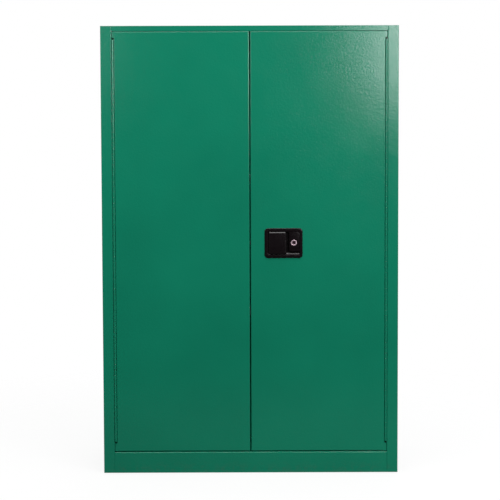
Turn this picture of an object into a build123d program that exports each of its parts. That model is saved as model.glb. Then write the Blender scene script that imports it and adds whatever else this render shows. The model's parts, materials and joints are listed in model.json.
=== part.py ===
from build123d import *
import math
import os

# Two-door flush safety storage cabinet, double-walled sheet steel.
# Millimetres. +X right, +Y to the back, +Z up; the doors face -Y.
# The origin is on the floor, at the middle of the cabinet's outer box.
# Depths written as d are measured back from the front plane of the doors and frame.

# Case
case_width = 1092.0
case_height = 1651.0
case_depth = 457.0
sheet = 1.2
air_space = 38.0
bend = 2.0
foot_gap = 2.0
top_rail_height = 18.5
sill_height = 78.5
back_flange = 20.0
sill_flange = 20.0
stop_leg = 20.0
stop_overlap_top = 27.5
stop_overlap_bottom = 23.0
sump_depth = 50.0
base_flange = 14.0
channel_width = 40.0
channel_brim = 18.0
channel_spacing = 300.0
channel_end_gap = 25.0

# Doors
door_thickness = 38.0
door_bend = 3.0
door_gap_centre = 4.0
door_gap_top = 2.0
door_gap_bottom = 4.5
door_gap_back = 1.5
inner_pan_flange = 15.0

# Continuous hinges
hinge_gap = 8.8
hinge_end_gap = 26.0
knuckle_length = 20.0
knuckle_radius = 4.3
knuckle_gap = 0.5
knuckle_sides = 6
bore_sides = 4
hinge_pin_radius = 2.0
running_fit = 0.05
shaft_sides = 8
leaf_thickness = 1.5
leaf_depth = 30.0
leaf_notch = 4.6
pin_head = 1.5

# Shelves and their standards
shelf_sheet = 1.5
shelf_height = 32.0
shelf_hem = 14.0
shelf_front_gap = 10.0
shelf_back_gap = 8.0
shelf_side_gap = 3.0
standard_width = 30.0
standard_depth = 10.0
standard_sheet = 1.5
standard_bottom = 130.0
standard_top_gap = 40.0
standard_inset = 45.0
slot_width = 6.0
slot_height = 16.0
slot_pitch = 165.0
slot_count = 8
first_slot = 230.0
slot_count_below_lower_shelf = 2
slot_count_below_upper_shelf = 5
clip_width = 24.0
clip_height = 30.0
clip_reach = 16.0
clip_sheet = 2.0
clip_hook = 5.0
clip_play = 0.5

# Vents
vent_depth = 228.0
vent_low = 200.0
vent_from_top = 151.0
vent_bore = 26.0
vent_pipe_radius = 30.0
vent_flange_radius = 38.0
vent_flange = 3.0
vent_pipe_out = 12.0
vent_pipe_in = 3.0
vent_hole_play = 0.3
screen_thickness = 1.5
cap_plug = 9.0
cap_head = 10.0
cap_head_flats = 62.0
vent_sides = 12

# Earthing stud
stud_radius = 4.0
stud_length = 22.0
stud_height = 70.0
stud_depth = 300.0
stud_nut_flats = 13.0
stud_nut_height = 6.5

# Levelling feet
foot_inset = 60.0
foot_head_flats = 24.0
foot_head_height = 8.0
foot_stud_radius = 5.0
foot_stud_length = 40.0
foot_nut_flats = 17.0
foot_nut_height = 8.0
foot_hole = 12.0
base_height = 18.0

# Flush paddle handle, in the right door
plate_width = 140.0
plate_height = 110.0
plate_proud = 3.0
plate_corner = 13.0
plate_edge = 1.6
plate_from_edge = 51.0
handle_height = 856.0
flange_lap = 5.0
body_depth = 16.5
floor_thickness = 2.5
pocket_margin_left = 13.0
pocket_margin_right = 11.0
pocket_margin_height = 12.5
pocket_corner = 6.0
ramp_rise = 5.5
body_play = 0.5
clamp_lap = 9.0
clamp_sheet = 2.0
paddle_width = 64.0
paddle_play = 2.5
paddle_side_play = 2.0
paddle_proud = 7.0
paddle_skin = 3.5
paddle_bevel_width = 4.0
paddle_bevel_depth = 2.0
paddle_corner = 5.0
paddle_lip_depth = 8.0
paddle_lip = 3.0
paddle_pivot_inset = 4.0
paddle_pivot_depth = -1.0
paddle_barrel_radius = 3.2
paddle_pin_radius = 1.5
pin_seat = 1.5
paddle_turn = 35.0
tail_half_width = 2.5
tail_height = 10.0
tail_reach = 21.0
tail_play = 1.6
spring_height = 14.0
spring_wall = 0.7
spring_leg_width = 1.2

# Rotor, latch bars and centre bolt inside the right door
rotor_margin = 4.0
rotor_corner = 20.0
rotor_thickness = 3.0
rotor_depth = 22.0
rotor_from_pivot = 12.8
rotor_lift = 20.0
rotor_pin_circle = 20.0
rotor_pin_radius = 3.0
axle_radius = 4.0
axle_boss_radius = 8.0
axle_clip_radius = 7.0
axle_clip = 1.2
part_play = 0.3
bar_from_rotor = 1.0
bar_width = 16.0
bar_thickness = 4.0
bar_tip_reach = 1.0
bar_nose = 4.0
bolt_tip_reach = 2.8
eye_wall = 5.0
eye_play = 0.3
eye_drift = 1.2
guide_sheet = 1.5
guide_length = 20.0
guide_play = 0.5
guide_lap = 10.0
guide_from_end = 60.0
guide_from_handle = 150.0
bolt_guide_from_edge = 18.0
slot_play = 1.0
keeper_width = 46.0
keeper_depth = 18.0
keeper_thickness = 3.0
keeper_play = 2.0
strike_thickness = 3.0
strike_height = 60.0
strike_depth = 12.0

# Lock
finger_gap = 11.5
pad_foot_gap = 9.5
pad_proud = 0.5
lock_from_edge = 32.0
lock_lift = 0.5
lock_bezel_radius = 12.0
lock_bezel = 2.6
lock_barrel_radius = 9.5
lock_barrel_length = 23.0
lock_sides = 14
lock_plug_radius = 5.5
lock_plug_recess = 0.6
keyway_width = 1.6
keyway_height = 7.0
keyway_depth = 3.0
lock_nut_flats = 24.0
lock_nut_height = 2.5
cam_length = 22.0
cam_width = 11.0
cam_thickness = 2.0
cam_play = 0.6

# Places that follow from the sizes above
vent_high = case_height - vent_from_top
front_y = -(case_depth + paddle_proud) / 2 + paddle_proud
half_width = case_width / 2
wall = sheet + air_space + sheet
opening_x = half_width - wall
case_bottom = foot_gap
top_under = case_height - sheet
rail_bottom = case_height - top_rail_height
door_top = rail_bottom - door_gap_top
door_bottom = sill_height + door_gap_bottom
door_inner_x = door_gap_centre / 2
door_outer_x = opening_x - hinge_gap
pin_x = opening_x - hinge_gap / 2
stop_d = door_thickness + door_gap_back
room_front_d = stop_d + sheet
room_back_d = case_depth - wall
ceiling_z = case_height - wall
stop_top_z = door_top - stop_overlap_top
stop_bottom_z = door_bottom + stop_overlap_bottom
sump_bottom_z = stop_bottom_z - sump_depth
shell_back_d = case_depth - sheet
hinge_length = door_top - door_bottom - 2 * hinge_end_gap
knuckles = round(hinge_length / knuckle_length)

plate_x = door_inner_x + plate_from_edge + plate_width / 2
plate_left = plate_x - plate_width / 2
plate_right = plate_x + plate_width / 2
pocket_left = plate_left + pocket_margin_left
pocket_right = plate_right - pocket_margin_right
pocket_bottom = handle_height - plate_height / 2 + pocket_margin_height
pocket_top = handle_height + plate_height / 2 - pocket_margin_height
pocket_floor_d = body_depth - floor_thickness
paddle_left = pocket_left + paddle_play
paddle_bottom = pocket_bottom + paddle_side_play
paddle_top = pocket_top - paddle_side_play
pad_left = paddle_left + paddle_width + finger_gap
pivot_x = paddle_left + paddle_pivot_inset
rotor_x = pivot_x + rotor_from_pivot
rotor_z = handle_height + rotor_lift
half_turn = math.radians(paddle_turn / 2)
pin_swing = rotor_pin_circle * math.sin(half_turn)
pin_offset = rotor_pin_circle * (1 + math.cos(half_turn)) / 2
left_bar_x = rotor_x - pin_offset
right_bar_x = rotor_x + pin_offset
bolt_z = rotor_z - pin_offset
bar_d = rotor_depth + rotor_thickness + bar_from_rotor
bar_back_d = bar_d + bar_thickness
bolt_d = bar_back_d + part_play
bolt_back_d = bolt_d + bar_thickness
lock_x = plate_right - lock_from_edge
lock_z = handle_height + lock_lift
lock_front_d = -pad_proud - lock_bezel
lock_back_d = lock_barrel_length - pad_proud


def block(x_span, d_span, z_span):
    """A block between two limits on each axis."""
    spans = (x_span, d_span, z_span)
    size = [span[1] - span[0] for span in spans]
    middle = [(span[0] + span[1]) / 2 for span in spans]
    return Pos(middle[0], front_y + middle[1], middle[2]) * Box(*size)


def bar_z(x, d, z_span, radius, sides):
    """A many-sided bar that stands upright; radius is to its corners."""
    face = Pos(x, front_y + d, z_span[0]) * RegularPolygon(radius, sides)
    return extrude(face, z_span[1] - z_span[0], dir=(0, 0, 1))


def bar_y(x, z, d_span, radius, sides):
    """A many-sided bar that runs from front to back."""
    face = Pos(x, front_y + d_span[0], z) * (Plane.XZ * RegularPolygon(radius, sides))
    return extrude(face, d_span[1] - d_span[0], dir=(0, 1, 0))


def bar_x(d, z, x_span, radius, sides):
    """A many-sided bar that runs from left to right."""
    face = Pos(x_span[0], front_y + d, z) * (Plane.YZ * RegularPolygon(radius, sides))
    return extrude(face, x_span[1] - x_span[0], dir=(1, 0, 0))


def shaft_z(x, d, z_span, radius):
    """A round upright shaft."""
    middle = (z_span[0] + z_span[1]) / 2
    return Pos(x, front_y + d, middle) * Cylinder(radius, z_span[1] - z_span[0])


def bore_radius(radius, sides):
    """Corner radius of a hole whose flats clear a shaft of this radius by the running fit."""
    return (radius + running_fit) / math.cos(math.pi / sides)


def hex_bar(flats, length):
    """A six-sided bar on the XY plane, by its width across flats."""
    return extrude(RegularPolygon(flats / 2, 6, major_radius=False), length)


def plan_fold(points, z_span, thickness, radii):
    """A sheet folded along (x, d) points on its middle line, and as tall as z_span."""
    line = FilletPolyline(*[(x, front_y + d) for x, d in points], radius=radii)
    face = Pos(0, 0, z_span[0]) * trace(line, thickness)
    return extrude(face, z_span[1] - z_span[0], dir=(0, 0, 1))


def side_fold(points, x_span, thickness, radii):
    """A sheet folded along (d, z) points on its middle line, and as wide as x_span."""
    line = FilletPolyline(*[(front_y + d, z) for d, z in points], radius=radii)
    face = Pos(x_span[0], 0, 0) * (Plane.YZ * trace(line, thickness))
    return extrude(face, x_span[1] - x_span[0], dir=(1, 0, 0))


def rounded_block(x_span, d_span, z_span, corner):
    """A block whose four front-to-back edges are rounded."""
    body = block(x_span, d_span, z_span)
    return fillet(body.edges().filter_by(Axis.Y), corner)


def mirrored(shape):
    return mirror(shape, Plane.YZ)


# Case panels

def side_panel(vent_z):
    """Right side: hinge return, stile face, side and back flange in one folded sheet."""
    mid = sheet / 2
    points = [
        (opening_x + mid, room_front_d),
        (opening_x + mid, mid),
        (half_width - mid, mid),
        (half_width - mid, shell_back_d - mid),
        (half_width - back_flange, shell_back_d - mid),
    ]
    panel = plan_fold(points, (case_bottom, top_under), sheet, [bend, bend, 0])
    return panel - vent_hole(vent_z)


def vent_hole(vent_z):
    radius = vent_pipe_radius + vent_hole_play
    x_span = (opening_x - sheet, half_width + sheet)
    return bar_x(vent_depth, vent_z, x_span, radius, vent_sides)


def back_panel():
    x_span = (-half_width, half_width)
    return block(x_span, (shell_back_d, case_depth), (case_bottom, top_under))


def top_panel():
    """Top sheet with the front rail and its return folded down between the stiles."""
    cover = block((-half_width, half_width), (0, case_depth), (top_under, case_height))
    rail_span = (-opening_x, opening_x)
    rail = block(rail_span, (0, sheet), (rail_bottom, top_under))
    shelf = block(rail_span, (sheet, stop_d), (rail_bottom, rail_bottom + sheet))
    panel = cover + rail + shelf
    return panel - bar_slot(left_bar_x, (rail_bottom, rail_bottom + sheet))


def bar_slot(bar_x, z_span):
    """Hole in the frame that a latch bar shoots into."""
    across = bar_width / 2 + keeper_play
    deep = (bar_d - keeper_play, bar_back_d + keeper_play)
    return block((bar_x - across, bar_x + across), deep, z_span)


def head_stop():
    """Angle behind the top of the doors: one leg on the rail's return, one hanging down."""
    leg_z = rail_bottom + sheet
    x_span = (-opening_x, opening_x)
    hanging = block(x_span, (stop_d, room_front_d), (stop_top_z, leg_z + sheet))
    leg_span = (room_front_d - stop_leg, stop_d)
    leg = block(x_span, leg_span, (leg_z, leg_z + sheet))
    return hanging + leg - bar_slot(left_bar_x, (leg_z, leg_z + sheet))


def sill_panel():
    """Front sill between the stiles, with a return under the doors and one at the floor."""
    x_span = (-opening_x, opening_x)
    mid = sheet / 2
    points = [
        (stop_d, sill_height - mid),
        (mid, sill_height - mid),
        (mid, case_bottom + mid),
        (sill_flange, case_bottom + mid),
    ]
    panel = side_fold(points, x_span, sheet, [bend, 0])
    return panel - bar_slot(right_bar_x, (sill_height - sheet, sill_height))


def sill_stop():
    """Angle behind the foot of the doors, standing on the sill's return."""
    leg_z = sill_height - sheet
    x_span = (-opening_x, opening_x)
    standing = block(x_span, (stop_d, room_front_d), (leg_z - sheet, stop_bottom_z))
    leg = block(x_span, (room_front_d - stop_leg, stop_d), (leg_z - sheet, leg_z))
    return standing + leg - bar_slot(right_bar_x, (leg_z - sheet, leg_z))


def keeper(bar_x, z_span):
    """Plate that doubles the metal round a latch bar's hole."""
    middle_d = (bar_d + bar_back_d) / 2
    d_span = (middle_d - keeper_depth / 2, middle_d + keeper_depth / 2)
    plate = block((bar_x - keeper_width / 2, bar_x + keeper_width / 2), d_span, z_span)
    return plate - bar_slot(bar_x, z_span)


def keeper_top():
    seat = rail_bottom + 2 * sheet
    return keeper(left_bar_x, (seat, seat + keeper_thickness))


def keeper_bottom():
    seat = sill_height - 2 * sheet
    return keeper(right_bar_x, (seat - keeper_thickness, seat))


def base_panel():
    """Outer floor, a pan with its edges turned down between the outer panels."""
    x_out = half_width - sheet
    d_span = (sheet, shell_back_d - sheet)
    pan = block((-x_out, x_out), d_span, (base_height - base_flange, base_height + sheet))
    inside = block(
        (-x_out + sheet, x_out - sheet),
        (d_span[0] + sheet, d_span[1] - sheet),
        (base_height - base_flange, base_height),
    )
    stile_clear = [
        block(
            side_span,
            (sheet, room_front_d + part_play),
            (base_height - base_flange, base_height + sheet),
        )
        for side_span in ((opening_x, x_out), (-x_out, -opening_x))
    ]
    pan = pan - inside - stile_clear
    half = foot_hole / 2
    for x, d in foot_places():
        pan = pan - block((x - half, x + half), (d - half, d + half), (base_height, base_height + sheet))
    return pan


def floor_channels():
    """Three hat channels that carry the sump on the outer floor."""
    low = base_height + sheet
    mid = sheet / 2
    d_span = (room_front_d + channel_end_gap, room_back_d - channel_end_gap)
    half = channel_width / 2
    profile = [
        (-half - channel_brim, low + mid),
        (-half, low + mid),
        (-half, sump_bottom_z - mid),
        (half, sump_bottom_z - mid),
        (half, low + mid),
        (half + channel_brim, low + mid),
    ]
    channels = []
    for step in (-1, 0, 1):
        line = Polyline(*[(step * channel_spacing + x, z) for x, z in profile])
        face = Pos(0, front_y + d_span[0], 0) * (Plane.XZ * trace(line, sheet))
        channels.append(extrude(face, d_span[1] - d_span[0], dir=(0, 1, 0)))
    return channels


def side_liner(vent_z):
    d_span = (room_front_d, room_back_d)
    liner = block((opening_x, opening_x + sheet), d_span, (case_bottom + sill_flange, ceiling_z))
    return liner - vent_hole(vent_z)


def back_liner():
    x_span = (-opening_x - sheet, opening_x + sheet)
    z_span = (case_bottom + sill_flange, ceiling_z)
    return block(x_span, (room_back_d, room_back_d + sheet), z_span)


def ceiling_liner():
    x_span = (-opening_x - sheet, opening_x + sheet)
    d_span = (room_front_d, room_back_d + sheet)
    return block(x_span, d_span, (ceiling_z, ceiling_z + sheet))


def sump_tray():
    """Leak-tight floor of the room: a pan as deep as the sill stop is high."""
    d_span = (room_front_d, room_back_d)
    outside = block((-opening_x, opening_x), d_span, (sump_bottom_z, stop_bottom_z))
    inside = block(
        (-opening_x + sheet, opening_x - sheet),
        (d_span[0] + sheet, d_span[1] - sheet),
        (sump_bottom_z + sheet, stop_bottom_z),
    )
    return outside - inside


# Shelf standards, clips and shelves

def standard_depths():
    return (room_front_d + standard_inset, room_back_d - standard_inset)


def shelf_standard(d):
    """Slotted channel on the right wall, its open side to the wall."""
    x_face = opening_x - standard_depth
    z_span = (standard_bottom, ceiling_z - standard_top_gap)
    half = standard_width / 2
    body = block((x_face, opening_x), (d - half, d + half), z_span)
    hollow = block(
        (x_face + standard_sheet, opening_x),
        (d - half + standard_sheet, d + half - standard_sheet),
        z_span,
    )
    slots = [
        block(
            (x_face, x_face + standard_sheet),
            (d - slot_width / 2, d + slot_width / 2),
            (slot_z(number), slot_z(number) + slot_height),
        )
        for number in range(slot_count)
    ]
    return body - hollow - slots


def slot_z(number):
    return first_slot + number * slot_pitch


def shelf_standards():
    right = [shelf_standard(d) for d in standard_depths()]
    return right + [mirrored(standard) for standard in right]


def shelf_clip(d, slot_number):
    """Clip hooked into one slot, with a ledge for the shelf's hem."""
    x_face = opening_x - standard_depth
    base_z = slot_z(slot_number) - (clip_height - slot_height) / 2
    half = clip_width / 2
    plate = block((x_face - clip_sheet, x_face), (d - half, d + half), (base_z, base_z + clip_height))
    ledge = block(
        (x_face - clip_reach, x_face - clip_sheet),
        (d - half, d + half),
        (base_z + clip_height - clip_sheet, base_z + clip_height),
    )
    tongue = slot_width / 2 - clip_play
    hook = block(
        (x_face, x_face + standard_sheet + clip_hook),
        (d - tongue, d + tongue),
        (slot_z(slot_number), slot_z(slot_number) + slot_height - clip_play),
    )
    return plate + ledge + hook


def shelf_clips(slot_number):
    right = [shelf_clip(d, slot_number) for d in standard_depths()]
    return right + [mirrored(clip) for clip in right]


def shelf(slot_number):
    """Shelf pan: its edges turn down and end in hems, which lie on the clips."""
    half = opening_x - standard_depth - shelf_side_gap
    d_span = (room_front_d + shelf_front_gap, room_back_d - shelf_back_gap)
    low = slot_z(slot_number) + (clip_height + slot_height) / 2
    high = low + shelf_height
    outside = block((-half, half), d_span, (low, high))
    inner = half - shelf_sheet
    inner_d = (d_span[0] + shelf_sheet, d_span[1] - shelf_sheet)
    hollow = block((-inner, inner), inner_d, (low + shelf_sheet, high - shelf_sheet))
    mouth = block(
        (-inner + shelf_hem, inner - shelf_hem),
        (inner_d[0] + shelf_hem, inner_d[1] - shelf_hem),
        (low, low + shelf_sheet),
    )
    return outside - hollow - mouth


# Vents, earthing stud and feet

def vent_bung(vent_z):
    """Threaded sleeve through both sheets of the right wall, with an outer flange."""
    x_span = (opening_x - vent_pipe_in, half_width + vent_pipe_out)
    pipe = bar_x(vent_depth, vent_z, x_span, vent_pipe_radius, vent_sides)
    flange_span = (half_width, half_width + vent_flange)
    flange = bar_x(vent_depth, vent_z, flange_span, vent_flange_radius, vent_sides)
    hole_radius = bore_radius(vent_bore, vent_sides)
    return pipe + flange - bar_x(vent_depth, vent_z, x_span, hole_radius, vent_sides)


def vent_screen(vent_z):
    """Woven disc across the room end of the sleeve."""
    low_x = opening_x - vent_pipe_in
    return bar_x(vent_depth, vent_z, (low_x, low_x + screen_thickness), vent_bore, vent_sides)


def vent_cap(vent_z):
    """Plug with a six-sided head, screwed into the bung from outside."""
    seat = half_width + vent_pipe_out
    plug = bar_x(vent_depth, vent_z, (seat - cap_plug, seat), vent_bore, vent_sides)
    head = Pos(seat, front_y + vent_depth, vent_z) * Rot(0, 90, 0) * hex_bar(cap_head_flats, cap_head)
    return plug + head


def ground_stud():
    """Weld stud: a many-sided root inside the nut, and a round free end."""
    nut_face = -half_width - stud_nut_height
    root = bar_x(stud_depth, stud_height, (nut_face, -half_width), stud_radius, shaft_sides)
    free = stud_length - stud_nut_height
    place = Pos(nut_face - free / 2, front_y + stud_depth, stud_height)
    return root + place * Rot(0, 90, 0) * Cylinder(stud_radius, free)


def ground_nut():
    """Nut on the earthing stud, against the left side."""
    place = Pos(-half_width, front_y + stud_depth, stud_height) * Rot(0, -90, 0)
    hole_radius = bore_radius(stud_radius, shaft_sides)
    x_span = (-half_width - stud_nut_height, -half_width)
    hole = bar_x(stud_depth, stud_height, x_span, hole_radius, shaft_sides)
    return place * hex_bar(stud_nut_flats, stud_nut_height) - hole


def foot_places():
    x = half_width - foot_inset
    return [
        (side * x, d)
        for d in (foot_inset, case_depth - foot_inset)
        for side in (-1, 1)
    ]


def levelling_foot(x, d):
    """Levelling screw with its six-sided head on the floor."""
    head = Pos(x, front_y + d, 0) * hex_bar(foot_head_flats, foot_head_height)
    stud_span = (foot_head_height, foot_head_height + foot_stud_length)
    return head + bar_z(x, d, stud_span, foot_stud_radius, shaft_sides)


def foot_nuts():
    """Weld nuts on the outer floor, one over each levelling screw."""
    nuts = []
    seat = base_height + sheet
    for x, d in foot_places():
        nut = Pos(x, front_y + d, seat) * hex_bar(foot_nut_flats, foot_nut_height)
        hole_radius = bore_radius(foot_stud_radius, shaft_sides)
        hole = bar_z(x, d, (seat, seat + foot_nut_height), hole_radius, shaft_sides)
        nuts.append(nut - hole)
    return nuts


# Doors

def door_outer():
    """Outer pan of the right-hand door: face and four turned-back edges."""
    x_span = (door_inner_x, door_outer_x)
    z_span = (door_bottom, door_top)
    body = block(x_span, (0, door_thickness), z_span)
    front_edges = body.faces().sort_by(Axis.Y)[0].edges()
    body = fillet(front_edges, door_bend)
    return offset(body, -sheet, openings=body.faces().sort_by(Axis.Y)[-1])


def door_inner():
    """Inner pan: closes the door from behind, its edges turned forward inside the outer pan."""
    x_span = (door_inner_x + sheet, door_outer_x - sheet)
    z_span = (door_bottom + sheet, door_top - sheet)
    back = block(x_span, (door_thickness - inner_pan_flange, door_thickness), z_span)
    hollow = block(
        (x_span[0] + sheet, x_span[1] - sheet),
        (door_thickness - inner_pan_flange, door_thickness - sheet),
        (z_span[0] + sheet, z_span[1] - sheet),
    )
    return back - hollow


def handle_opening():
    """Cut-out in the right door's face for the handle housing."""
    across = plate_width / 2 - flange_lap + body_play
    high = plate_height / 2 - flange_lap + body_play
    x_span = (plate_x - across, plate_x + across)
    return block(x_span, (-sheet, sheet + clamp_sheet), (handle_height - high, handle_height + high))


def door_bar_slot(bar_x, edge_z):
    """Hole in a door's turned edge for a latch bar."""
    across = bar_width / 2 + slot_play
    d_span = (bar_d - slot_play, bar_back_d + slot_play)
    reach = 2 * sheet + slot_play
    return block((bar_x - across, bar_x + across), d_span, (edge_z - reach, edge_z + reach))


def centre_slot():
    """Hole for the centre bolt through the meeting edges of both doors."""
    high = bar_width / 2 + slot_play
    d_span = (bolt_d - slot_play, bolt_back_d + slot_play)
    reach = door_inner_x + 2 * sheet + strike_thickness + slot_play
    return block((-reach, reach), d_span, (bolt_z - high, bolt_z + high))


def door_right_outer():
    pan = door_outer() - handle_opening() - centre_slot()
    return pan - door_bar_slot(left_bar_x, door_top) - door_bar_slot(right_bar_x, door_bottom)


def door_right_inner():
    pan = door_inner() - centre_slot()
    return pan - door_bar_slot(left_bar_x, door_top) - door_bar_slot(right_bar_x, door_bottom)


def door_left_outer():
    return mirrored(door_outer()) - centre_slot()


def door_left_inner():
    return mirrored(door_inner()) - centre_slot()


def strike_plate():
    """Stiffening plate inside the left door, round the centre bolt's hole."""
    face_x = -(door_inner_x + 2 * sheet)
    middle_d = (bolt_d + bolt_back_d) / 2
    d_span = (middle_d - strike_depth / 2, door_thickness - sheet)
    plate = block(
        (face_x - strike_thickness, face_x),
        d_span,
        (bolt_z - strike_height / 2, bolt_z + strike_height / 2),
    )
    return plate - centre_slot()


# Continuous hinges

def knuckle_z(number):
    pitch = hinge_length / knuckles
    low = door_bottom + hinge_end_gap + number * pitch
    return low + knuckle_gap / 2, low + pitch - knuckle_gap / 2


def hinge_leaf(first, towards):
    """Leaf with every second knuckle; towards is +1 for the frame side and -1 for the door."""
    far = knuckle_radius * math.cos(math.pi / knuckle_sides)
    near = far - leaf_thickness
    curl = [(far, leaf_notch), (near, leaf_notch)]
    for side in range(1, knuckle_sides):
        angle = (side + 0.5) * 2 * math.pi / knuckle_sides
        curl.append((knuckle_radius * math.cos(angle), knuckle_radius * math.sin(angle)))
    outline = Polygon(*[(towards * x, d) for x, d in curl], align=None)
    half_side = 180 / bore_sides
    hole = RegularPolygon(bore_radius(hinge_pin_radius, bore_sides), bore_sides, rotation=half_side)
    knuckle_list = []
    for number in range(first, knuckles, 2):
        z_span = knuckle_z(number)
        face = Pos(pin_x, front_y, z_span[0]) * (outline - hole)
        knuckle_list.append(extrude(face, z_span[1] - z_span[0], dir=(0, 0, 1)))
    z_span = (knuckle_z(0)[0], knuckle_z(knuckles - 1)[1])
    x_span = sorted((pin_x + towards * near, pin_x + towards * far))
    strip = block(x_span, (leaf_notch, leaf_depth), z_span)
    return strip.fuse(*knuckle_list).clean()


def hinge_pin():
    z_span = (knuckle_z(0)[0] - pin_head, knuckle_z(knuckles - 1)[1] + pin_head)
    return shaft_z(pin_x, 0, z_span, hinge_pin_radius)


# Handle

def handle_housing():
    """Moulded housing: front plate, body through the door, pocket, lock pad and axle boss."""
    x_span = (plate_left, plate_right)
    z_span = (handle_height - plate_height / 2, handle_height + plate_height / 2)
    plate = rounded_block(x_span, (-plate_proud, 0), z_span, plate_corner)
    plate = chamfer(plate.faces().sort_by(Axis.Y)[0].edges(), plate_edge)
    body_x = (x_span[0] + flange_lap, x_span[1] - flange_lap)
    body_z = (z_span[0] + flange_lap, z_span[1] - flange_lap)
    body = block(body_x, (0, body_depth), body_z)
    pocket_x = (pocket_left, pocket_right)
    pocket_z = (pocket_bottom, pocket_top)
    pocket = rounded_block(pocket_x, (-plate_proud, pocket_floor_d), pocket_z, pocket_corner)
    pad_z = (pocket_bottom + pad_foot_gap, pocket_top)
    pad = block((pad_left, pocket_right), (-pad_proud, pocket_floor_d), pad_z)
    boss_span = (body_depth, rotor_depth - part_play)
    boss = bar_y(rotor_x, rotor_z, boss_span, axle_boss_radius, shaft_sides)
    barrel_span = (-plate_proud, body_depth)
    barrel_hole = bar_y(lock_x, lock_z, barrel_span, lock_barrel_radius, lock_sides)
    axle_hole = bar_y(rotor_x, rotor_z, (pocket_floor_d, rotor_depth), axle_radius, shaft_sides)
    housing = plate + body - pocket + pocket_ramp() + pad + boss - barrel_hole - axle_hole
    pin_hole_radius = bore_radius(paddle_pin_radius, shaft_sides)
    pin_hole = bar_z(pivot_x, paddle_pivot_depth, paddle_pin_span(), pin_hole_radius, shaft_sides)
    return housing - tail_slot() - pin_hole


def pocket_ramp():
    """Sloped foot of the pocket, which rises towards the pocket's floor."""
    corners = [
        (front_y - plate_proud, pocket_bottom),
        (front_y + pocket_floor_d, pocket_bottom),
        (front_y + pocket_floor_d, pocket_bottom + ramp_rise),
    ]
    face = Pos(pocket_left, 0, 0) * (Plane.YZ * Polygon(*corners, align=None))
    return extrude(face, pocket_right - pocket_left, dir=(1, 0, 0))


def tail_slot():
    """Slot in the pocket's floor that the paddle's tail swings in."""
    turn = math.radians(paddle_turn)
    reach = (tail_reach - paddle_pivot_depth) * math.sin(turn) + tail_half_width * math.cos(turn)
    x_span = (pivot_x - tail_half_width - tail_play, pivot_x + reach + tail_play)
    half = tail_height / 2 + tail_play
    return block(x_span, (pocket_floor_d, body_depth), (handle_height - half, handle_height + half))


def paddle_pin_span():
    overlap = paddle_side_play + pin_seat
    return (paddle_bottom - overlap, paddle_top + overlap)


def paddle_pin():
    return shaft_z(pivot_x, paddle_pivot_depth, paddle_pin_span(), paddle_pin_radius)


def handle_paddle():
    """Paddle: rounded skin, finger lip, hinge barrels and the tail that drives the rotor."""
    x_span = (paddle_left, paddle_left + paddle_width)
    z_span = (paddle_bottom, paddle_top)
    skin_back = -paddle_proud + paddle_skin
    skin = rounded_block(x_span, (-paddle_proud, skin_back), z_span, paddle_corner)
    front = skin.faces().sort_by(Axis.Y)[0]
    skin = chamfer(front.edges(), paddle_bevel_width, paddle_bevel_depth, reference=front)
    lip_z = (z_span[0] + paddle_corner, z_span[1] - paddle_corner)
    lip = block((x_span[1] - paddle_lip, x_span[1]), (skin_back, skin_back + paddle_lip_depth), lip_z)
    barrel = bar_z(pivot_x, paddle_pivot_depth, z_span, paddle_barrel_radius, shaft_sides)
    web = block(
        (pivot_x - tail_half_width, pivot_x + tail_half_width),
        (skin_back, paddle_pivot_depth),
        z_span,
    )
    tail = block(
        (pivot_x - tail_half_width, pivot_x + tail_half_width),
        (paddle_pivot_depth, tail_reach),
        (handle_height - tail_height / 2, handle_height + tail_height / 2),
    )
    spring_room = block(
        (pivot_x - 2 * paddle_barrel_radius, pivot_x + 2 * paddle_barrel_radius),
        (skin_back, tail_reach),
        (spring_low() - part_play, spring_low() + spring_height + part_play),
    )
    hole_radius = bore_radius(paddle_pin_radius, shaft_sides)
    pin_hole = bar_z(pivot_x, paddle_pivot_depth, z_span, hole_radius, shaft_sides)
    frame = barrel + web + tail - spring_room
    return skin + lip + frame - pin_hole


def spring_low():
    return handle_height + tail_height / 2 + tail_play


def paddle_spring():
    """Coil round the paddle's pin, drawn as its outer shape, with a leg to the pocket's floor."""
    low = spring_low()
    z_span = (low, low + spring_height)
    inner = bore_radius(paddle_pin_radius, shaft_sides)
    coil = bar_z(pivot_x, paddle_pivot_depth, z_span, inner + spring_wall, shaft_sides)
    leg_x = pivot_x - inner - spring_wall
    leg = block(
        (leg_x, leg_x + spring_leg_width),
        (paddle_pivot_depth, pocket_floor_d),
        (low, low + spring_leg_width),
    )
    return coil + leg - bar_z(pivot_x, paddle_pivot_depth, z_span, inner, shaft_sides)


def housing_clamp():
    """Frame behind the door's face that clamps the housing."""
    across = plate_width / 2 - flange_lap
    high = plate_height / 2 - flange_lap
    outer = block(
        (plate_x - across - clamp_lap, plate_x + across + clamp_lap),
        (sheet, sheet + clamp_sheet),
        (handle_height - high - clamp_lap, handle_height + high + clamp_lap),
    )
    hole = block(
        (plate_x - across, plate_x + across),
        (sheet, sheet + clamp_sheet),
        (handle_height - high, handle_height + high),
    )
    return outer - hole


# Lock

def lock_body():
    """Bezel and barrel of the cylinder lock."""
    bezel_span = (lock_front_d, -pad_proud)
    bezel = bar_y(lock_x, lock_z, bezel_span, lock_bezel_radius, lock_sides)
    bezel = chamfer(bezel.faces().sort_by(Axis.Y)[0].edges(), lock_bezel / 2)
    barrel_span = (-pad_proud, lock_back_d)
    barrel = bar_y(lock_x, lock_z, barrel_span, lock_barrel_radius, lock_sides)
    hole_radius = bore_radius(lock_plug_radius, lock_sides)
    hole = bar_y(lock_x, lock_z, (lock_front_d, lock_back_d), hole_radius, lock_sides)
    return bezel + barrel - hole


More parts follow.
